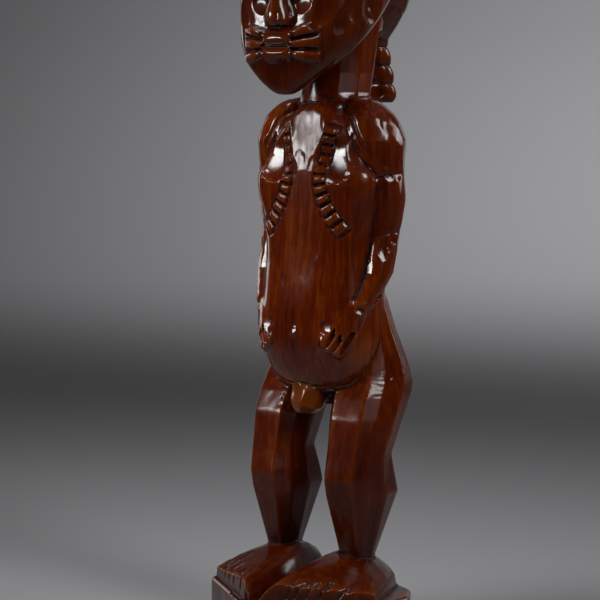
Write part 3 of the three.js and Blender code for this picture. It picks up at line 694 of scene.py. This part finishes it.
# The plait: four thick lobes hang behind the neck, each tucked under the one above. The knife went
# round under each lobe and nicked the strands at random.
PLAIT_STEPS = [(335.4, 64), (324.8, 66), (314.2, 69)]
CUTS_ROUND = 8
PLAIT_RADII = (7, 6)
PLAIT_CUT_HALF = 3.5
PLAIT_NICKS = 26
PLAIT_MIDDLE = 66
NICK_BOX = [(-7, 7), (62, 76), (306, 342)]
NICK_RUN = 0.8
for height, middle in PLAIT_STEPS:
    for angle in range(0, 360, 360 // CUTS_ROUND):
        facing = np.array((math.sin(math.radians(angle)), math.cos(math.radians(angle)), 0))
        at = np.array((facing[0] * PLAIT_RADII[0], middle + facing[1] * PLAIT_RADII[1], height))
        beside = PLAIT_CUT_HALF * np.array((facing[1], -facing[0], 0))
        knife([at - beside, at + beside], facing, half_width=1.2, depth=0.7, taper=0.8, reach=4)
for index in range(PLAIT_NICKS):
    at = np.array([dice.uniform(*span) for span in NICK_BOX])
    toward = (at[0], at[1] - PLAIT_MIDDLE, 0.1)
    knife([at, at + dice.normal(0, NICK_RUN, 3)], toward, half_width=0.7, depth=0.5, taper=0.6)

# The base: an adze squared it out of the foot of the billet, and left broad shallow scallops on its
# sides and top. Its underside was kept flat to stand on.
BASE_LEVEL = 29
SCALLOP_SPACING = 900
SCALLOP_LOWEST = 2
SCALLOP_LEAN = 0.02
SCALLOP_DEPTH = 0.22
SCALLOP_REACHES = (7, 12)
for index in np.flatnonzero(skin[:, 2] < BASE_LEVEL)[::SCALLOP_SPACING]:
    if skin[index, 2] > SCALLOP_LOWEST:
        lean = dice.normal(0, SCALLOP_LEAN, 3)
        stroke(skin[index].copy(), facings[index] + lean, SCALLOP_DEPTH, dice.uniform(*SCALLOP_REACHES))

# The trimmed skin: nothing stands past the block that the figure was cut from. Two light strokes of
# the scraper take the roughness off the cuts.
LAST_STROKES = 2
low, high = (np.array(corner) / MM for corner in cad_box)
skin = np.clip(skin, low, high)
write_skin()
finish_with(figure, "SMOOTH", factor=RASP_PULL, iterations=LAST_STROKES)
skin, facings = read_skin()

# Age and painted shade: soot and old polish lie in the hollows, and the dark colour painted there
# also stands in for the shade that falls in them. Handling has rubbed the ridges. How deep each point
# lies under its surroundings is noted on the skin, once within a millimetre and once within four.
FINE_ROUNDS = 3
BROAD_ROUNDS = 40
ends = np.empty((len(figure.data.edges), 2), np.int32)
figure.data.edges.foreach_get("vertices", ends.reshape(-1))
from_ends = np.concatenate([ends[:, 0], ends[:, 1]])
to_ends = np.concatenate([ends[:, 1], ends[:, 0]])
neighbours = np.bincount(from_ends, minlength=len(skin))


def evened(values, rounds):
    """Each point's values, averaged with its neighbours' again and again."""
    for _ in range(rounds):
        sums = [np.bincount(from_ends, column[to_ends], len(skin)) for column in values.T]
        values = np.stack(sums, axis=1) / neighbours[:, None]
    return values


def note(name, values):
    """Keeps one number for each point of the figure, for the finish to read."""
    layer = figure.data.attributes.new(name, "FLOAT", "POINT")
    layer.data.foreach_set("value", values.astype(np.float32))


fine = evened(skin, FINE_ROUNDS)
note("crease", ((fine - skin) * facings).sum(axis=1))
note("hollow", ((evened(fine, BROAD_ROUNDS) - skin) * facings).sum(axis=1))

# The thinned skin: where it is flat it needs few faces, so that the fine carving keeps the most.
# Polished wood has no facets finer than the knife's, so it is shaded smooth.
MOST_TRIANGLES = 190000
faces = sum(len(face.vertices) - 2 for face in figure.data.polygons)
finish_with(figure, "DECIMATE", ratio=MOST_TRIANGLES / faces, use_collapse_triangulate=True)
choose(figure)
bpy.ops.object.shade_smooth()

# The wood: heavy red-brown heartwood, oiled and rubbed to a deep shine. The grain runs up the billet.
# The head and neck are darker, and this dark colour runs down under the chin and over the collar as
# a painted shadow of the chin. The legs are darker towards the base, the cuts are painted dark with
# soot, old polish and painted shade, and the small block at the loins has darkened least.
# The polish is worn thin on the legs and over the breastbone. Heights and bands are in metres here.
WOOD_DARK = (0.028, 0.0022, 0.0001)
WOOD_MIDDLE = (0.105, 0.0110, 0.0002)
WOOD_LIGHT = (0.22, 0.042, 0.0010)
# The darker wood of the head, which also paints the chin's shadow on the collar.
HEAD_WOOD_AND_CHIN_SHADOW = (0.034, 0.0030, 0.0003)
LEG_WOOD = (0.022, 0.0014, 0.0001)
BARE_WOOD = (0.15, 0.034, 0.004)
# The dark of the hollows and creases is soot and old polish, together with painted shade.
SOOT_AND_SHADE = (0.0035, 0.0022, 0.0016)
DUST = (0.30, 0.20, 0.11)
TONE_DARKEST, TONE_LIGHTEST = 0.42, 0.80
LEGS_FROM, LEGS_TO = 50 * MM, 145 * MM
LEG_SHARE = 0.65
NECK_FROM, NECK_TO = 292 * MM, 314 * MM
HEAD_FRONT, HEAD_BACK = 0.0, 20 * MM
HEAD_AND_CHIN_SHADOW_SHARE = 0.7
BLOCK_HEIGHT = 139.5 * MM
BLOCK_REACH = 12.5 * MM
BLOCK_FRONT, BLOCK_BACK = -4 * MM, 0.0
BLOCK_SHARE = 0.75
RIDGE_LOW, RIDGE_HIGH = 0.10, 0.9
RUBBED_SHARE = 0.35
HOLLOW_LOW, HOLLOW_HIGH = 0.25, 1.3
HOLLOW_SOOT_AND_SHADE = 0.6
CREASE_LOW, CREASE_HIGH = 0.03, 0.22
CREASE_SOOT_AND_SHADE = 0.85
SOOT_AND_SHADE_SHARE = 0.93
DUST_LOW, DUST_HIGH = 0.28, 0.42
PATCH_LOW, PATCH_HIGH = 0.50, 0.62
DUST_SHARE = 0.5
WEAR_FROM, WEAR_TO = 110 * MM, 170 * MM
LEG_WEAR = 0.24
BREASTBONE_HEIGHT = 275 * MM
BREASTBONE_HALF_HEIGHT = 50 * MM
BREASTBONE_HALF_WIDTH = 16 * MM
BREASTBONE_WEAR = 0.20
STREAK_LOW, STREAK_HIGH = 0.38, 0.62
STREAK_WEAR = 0.22
ROUGHNESS = 0.14
WORN_ROUGHNESS = 0.25
SOOTY_ROUGHNESS = 0.4
MOST_ROUGHNESS = 0.6
SHEEN = 0.20
POLISH = 0.38
SOOTY_POLISH_LOSS = 0.35
POLISH_ROUGHNESS = 0.11
POLISH_IOR = 1.5
RELIEF_STRENGTH = 0.30
RELIEF_DEPTH = 0.12 * MM
BAND_CORE = 0.6


class Socket:
    """A shader value that takes part in plain sums."""

    def __init__(self, tree, link):
        self.tree = tree
        self.link = link

    def math(self, operation, *others):
        """A Math node on this value and others, such as its larger or smaller."""
        return self.tree.node("ShaderNodeMath", {"operation": operation}, (self, *others))

    def __add__(self, other):
        return self.math("ADD", other)

    __radd__ = __add__

    def __mul__(self, other):
        return self.math("MULTIPLY", other)

    __rmul__ = __mul__

    def __sub__(self, other):
        return self.math("SUBTRACT", other)

    def __rsub__(self, other):
        return self * -1 + other

    def between(self, low, high):
        """0 at low, 1 at high and held there beyond them."""
        return self.tree.node("ShaderNodeMapRange", {}, {"Value": self, "From Min": low, "From Max": high})


class Finish:
    """A material whose nodes come from one method."""

    def __init__(self, name):
        self.material = bpy.data.materials.new(name)
        self.material.use_nodes = True
        self.nodes = self.material.node_tree.nodes
        self.links = self.material.node_tree.links
        self.shader = self.nodes["Principled BSDF"]

    def node(self, kind, settings, sockets, output=0):
        """Adds a node, sets its settings and stops, and feeds its sockets."""
        made = self.nodes.new(kind)
        for name, value in settings.items():
            if name == "stops":
                while len(made.color_ramp.elements) < len(value):
                    made.color_ramp.elements.new(0.5)
                for element, (position, color) in zip(made.color_ramp.elements, value):
                    element.position = position
                    element.color = (*color, 1)
            else:
                setattr(made, name, value)
        pairs = sockets.items() if isinstance(sockets, dict) else enumerate(sockets)
        for name, value in pairs:
            self.feed(made.inputs[name], value)
        return Socket(self, made.outputs[output])

    def feed(self, target, value):
        """Links a socket to a value that varies, or gives it a fixed number or colour."""
        if isinstance(value, Socket):
            self.links.new(value.link, target)
        elif isinstance(value, tuple) and len(value) == 3 and target.type == "RGBA":
            target.default_value = (*value, 1)
        else:
            target.default_value = value

    def set(self, name, value):
        """Feeds one input of the surface itself."""
        self.feed(self.shader.inputs[name], value)

    def blend(self, share, first, second):
        """Colour first where share is 0 and second where it is 1."""
        return self.node("ShaderNodeMix", {"data_type": "RGBA"}, {0: share, 6: first, 7: second}, 2)


wood = Finish("oiled_heartwood")
here = wood.node("ShaderNodeTexCoord", {}, {}, "Object")
across = wood.node("ShaderNodeSeparateXYZ", {}, (here,), "X")
behind = wood.node("ShaderNodeSeparateXYZ", {}, (here,), "Y")
height = wood.node("ShaderNodeSeparateXYZ", {}, (here,), "Z")
crease = wood.node("ShaderNodeAttribute", {"attribute_name": "crease"}, {}, "Fac")
hollow = wood.node("ShaderNodeAttribute", {"attribute_name": "hollow"}, {}, "Fac")


def grain(name, crosswise, lengthwise, detail, **more):
    """Noise drawn out along the billet: its scale across the grain and along it, per metre."""
    scales = (crosswise, crosswise, lengthwise)
    stretched = wood.node("ShaderNodeMapping", {}, {"Vector": here, "Scale": scales})
    sockets = {"Vector": stretched, "Scale": 1.0, "Detail": detail, **more}
    return wood.node("ShaderNodeTexNoise", {"label": name}, sockets, "Fac")


def inside(value, middle, reach):
    """1 in the core of a band, falling to 0 at its reach."""
    return 1 - (value - middle).math("ABSOLUTE").between(reach * BAND_CORE, reach)


streaks = grain("streaks", crosswise=330, lengthwise=9, detail=5.0, Roughness=0.62)
fibres = grain("fibres", crosswise=1700, lengthwise=45, detail=3.0)
patches = grain("patches", crosswise=34, lengthwise=16, detail=3.0)
mottle = grain("mottle", crosswise=210, lengthwise=150, detail=4.0)
mixed = streaks * 0.5 + patches * 0.42 + fibres * 0.16 + mottle * 0.12
colour = wood.node(
    "ShaderNodeValToRGB",
    {"stops": [(0.0, WOOD_DARK), (0.5, WOOD_MIDDLE), (1.0, WOOD_LIGHT)]},
    {"Fac": mixed.between(TONE_DARKEST, TONE_LIGHTEST)},
)
# The legs are darker towards the base.
in_legs = 1 - height.between(LEGS_FROM, LEGS_TO)
colour = wood.blend(in_legs * LEG_SHARE, colour, LEG_WOOD)
# The head and neck are painted darker. The band reaches down under the chin and over the collar, where it is
# a painted shadow of the chin.
head_and_chin_shadow = height.between(NECK_FROM, NECK_TO) * (1 - behind.between(HEAD_FRONT, HEAD_BACK))
colour = wood.blend(head_and_chin_shadow * HEAD_AND_CHIN_SHADOW_SHARE, colour, HEAD_WOOD_AND_CHIN_SHADOW)
at_block = inside(height, BLOCK_HEIGHT, BLOCK_REACH) * inside(across, 0, BLOCK_REACH)
at_block = at_block * (1 - behind.between(BLOCK_FRONT, BLOCK_BACK))
colour = wood.blend(at_block * BLOCK_SHARE, colour, BARE_WOOD)
rubbed = (0 - hollow).between(RIDGE_LOW, RIDGE_HIGH)
colour = wood.blend(rubbed * RUBBED_SHARE, colour, WOOD_LIGHT)
# The hollows and creases are painted dark: soot and old polish, together with painted shade.
hollow_soot_and_shade = hollow.between(HOLLOW_LOW, HOLLOW_HIGH) * HOLLOW_SOOT_AND_SHADE
sooty_and_shaded = (hollow_soot_and_shade + crease.between(CREASE_LOW, CREASE_HIGH) * CREASE_SOOT_AND_SHADE).math("MINIMUM", 1)
colour = wood.blend(sooty_and_shaded * SOOT_AND_SHADE_SHARE, colour, SOOT_AND_SHADE)
dusty = crease.between(DUST_LOW, DUST_HIGH) * mottle.between(PATCH_LOW, PATCH_HIGH)
colour = wood.blend(dusty * DUST_SHARE, colour, DUST)
on_breastbone = inside(across, 0, BREASTBONE_HALF_WIDTH)
on_breastbone = on_breastbone * inside(height, BREASTBONE_HEIGHT, BREASTBONE_HALF_HEIGHT)
streaky = BREASTBONE_WEAR + streaks.between(STREAK_LOW, STREAK_HIGH) * STREAK_WEAR
worn = (1 - height.between(WEAR_FROM, WEAR_TO)) * LEG_WEAR + on_breastbone * streaky
wood.set("Base Color", colour)
roughness = ROUGHNESS + worn * WORN_ROUGHNESS + sooty_and_shaded * SOOTY_ROUGHNESS
wood.set("Roughness", roughness.math("MINIMUM", MOST_ROUGHNESS))
wood.set("Specular IOR Level", SHEEN)
wood.set("Coat Weight", (POLISH - worn - sooty_and_shaded * SOOTY_POLISH_LOSS).math("MAXIMUM", 0))
wood.set("Coat Roughness", POLISH_ROUGHNESS)
wood.set("Coat IOR", POLISH_IOR)
relief = streaks * 0.55 + fibres * 0.25 + mottle * 0.35
bump = {"Strength": RELIEF_STRENGTH, "Distance": RELIEF_DEPTH, "Height": relief}
wood.set("Normal", wood.node("ShaderNodeBump", {}, bump))

figure.data.materials.clear()
figure.data.materials.append(wood.material)
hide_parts("spirit_spouse_figure")
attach(figure, "root")

# The floor: a wide sheet of pale studio paper, level under the figure and swept up all round it. It is
# only there for the picture.
PAPER = (0.31, 0.31, 0.32)
PAPER_ROUGHNESS = 0.9
PAPER_SHEEN = 0.1
FLOOR_RADIUS = 2.2
FLOOR_RINGS = 6
SWEEP_RADIUS = 0.5
WALL_TOP = 2.6
SWEEP_STEPS = 12
ROUND_STEPS = 96
profile = [(FLOOR_RADIUS * i / FLOOR_RINGS, 0) for i in range(1, FLOOR_RINGS + 1)]
for i in range(1, SWEEP_STEPS + 1):
    turn = math.radians(90) * i / SWEEP_STEPS
    out = FLOOR_RADIUS + SWEEP_RADIUS * math.sin(turn)
    profile.append((out, SWEEP_RADIUS * (1 - math.cos(turn))))
profile.append((FLOOR_RADIUS + SWEEP_RADIUS, WALL_TOP))
angles = np.linspace(0, 2 * math.pi, ROUND_STEPS, False)
points = [(0, 0, 0)]
for out, up in profile:
    points.extend((out * math.cos(angle), out * math.sin(angle), up) for angle in angles)
sheets = []
for i in range(ROUND_STEPS):
    after = (i + 1) % ROUND_STEPS
    sheets.append((0, 1 + i, 1 + after))
    for ring in range(len(profile) - 1):
        start = 1 + ring * ROUND_STEPS
        sheets.append((start + i, start + ROUND_STEPS + i, start + ROUND_STEPS + after, start + after))
paper_mesh = bpy.data.meshes.new("studio_floor")
paper_mesh.from_pydata(points, [], sheets)
paper_mesh.shade_smooth()
floor = bpy.data.objects.new("studio_floor", paper_mesh)
bpy.context.scene.collection.objects.link(floor)
paper = Finish("pale_paper")
paper.set("Base Color", PAPER)
paper.set("Roughness", PAPER_ROUGHNESS)
paper.set("Specular IOR Level", PAPER_SHEEN)
paper_mesh.materials.append(paper.material)

# The lights: a wide key at the left of the camera, a soft box overhead, a strong and a faint one on the
# right, one low on the left, one behind the figure, and a lamp that brightens the paper behind it.
# A dim even sky fills the shadows.
SKY_LIGHT = 0.11


def softbox(name, place, aim, size, power, spread=45):
    """A flat lamp of that width and height, in metres, turned towards its aim."""
    lamp = bpy.data.lights.new(name, "AREA")
    lamp.shape = "RECTANGLE"
    lamp.size, lamp.size_y = size
    lamp.energy = power
    lamp.spread = math.radians(spread)
    holder = bpy.data.objects.new(name, lamp)
    holder.location = place
    holder.rotation_euler = (Vector(aim) - Vector(place)).to_track_quat("-Z", "Y").to_euler()
    bpy.context.scene.collection.objects.link(holder)


softbox("key", (-0.739, -0.881, 0.60), (0, 0, 0.28), size=(0.44, 0.17), power=0.40)
softbox("top", (-0.37, -0.41, 1.48), (0, 0, 0.20), size=(0.50, 0.50), power=1.25, spread=60)
softbox("right_high", (0.97, -0.17, 1.03), (0, 0, 0.28), size=(0.34, 0.60), power=0.52)
softbox("right_soft", (1.05, -0.35, 0.60), (0, 0, 0.20), size=(0.50, 1.00), power=0.07)
softbox("left_low", (-1.15, 0.25, 0.35), (0, 0, 0.25), size=(0.25, 0.60), power=0.06)
softbox("behind", (0.75, 1.05, 0.75), (0, 0, 0.25), size=(0.40, 0.80), power=0.36)
softbox("backdrop", (-0.5, 1.3, 2.4), (-0.85, 2.6, 0.50), size=(0.80, 0.80), power=17.0, spread=90)
world = bpy.data.worlds.new("studio")
bpy.context.scene.world = world
world.use_nodes = True
sky = world.node_tree.nodes["Background"].inputs
sky["Color"].default_value = (1, 1, 1, 1)
sky["Strength"].default_value = SKY_LIGHT
bpy.context.scene.view_settings.view_transform = "Standard"

# The camera stands level with the chest, off to the figure's left, and looks slightly down. Its long
# lens keeps the figure's proportions.
CAMERA_PLACE = (0.66879, -0.89843, 0.305)
CAMERA_AZIMUTH = math.radians(37)
CAMERA_PITCH = math.atan(0.1)
LENS_LENGTH = 120
LENS_FRAME = 36
lens = bpy.data.cameras.new("camera")
lens.lens = LENS_LENGTH
lens.sensor_width = LENS_FRAME
camera = bpy.data.objects.new("camera", lens)
camera.location = CAMERA_PLACE
camera.rotation_euler = (math.pi / 2 - CAMERA_PITCH, 0, CAMERA_AZIMUTH)
bpy.context.scene.collection.objects.link(camera)
bpy.context.scene.camera = camera
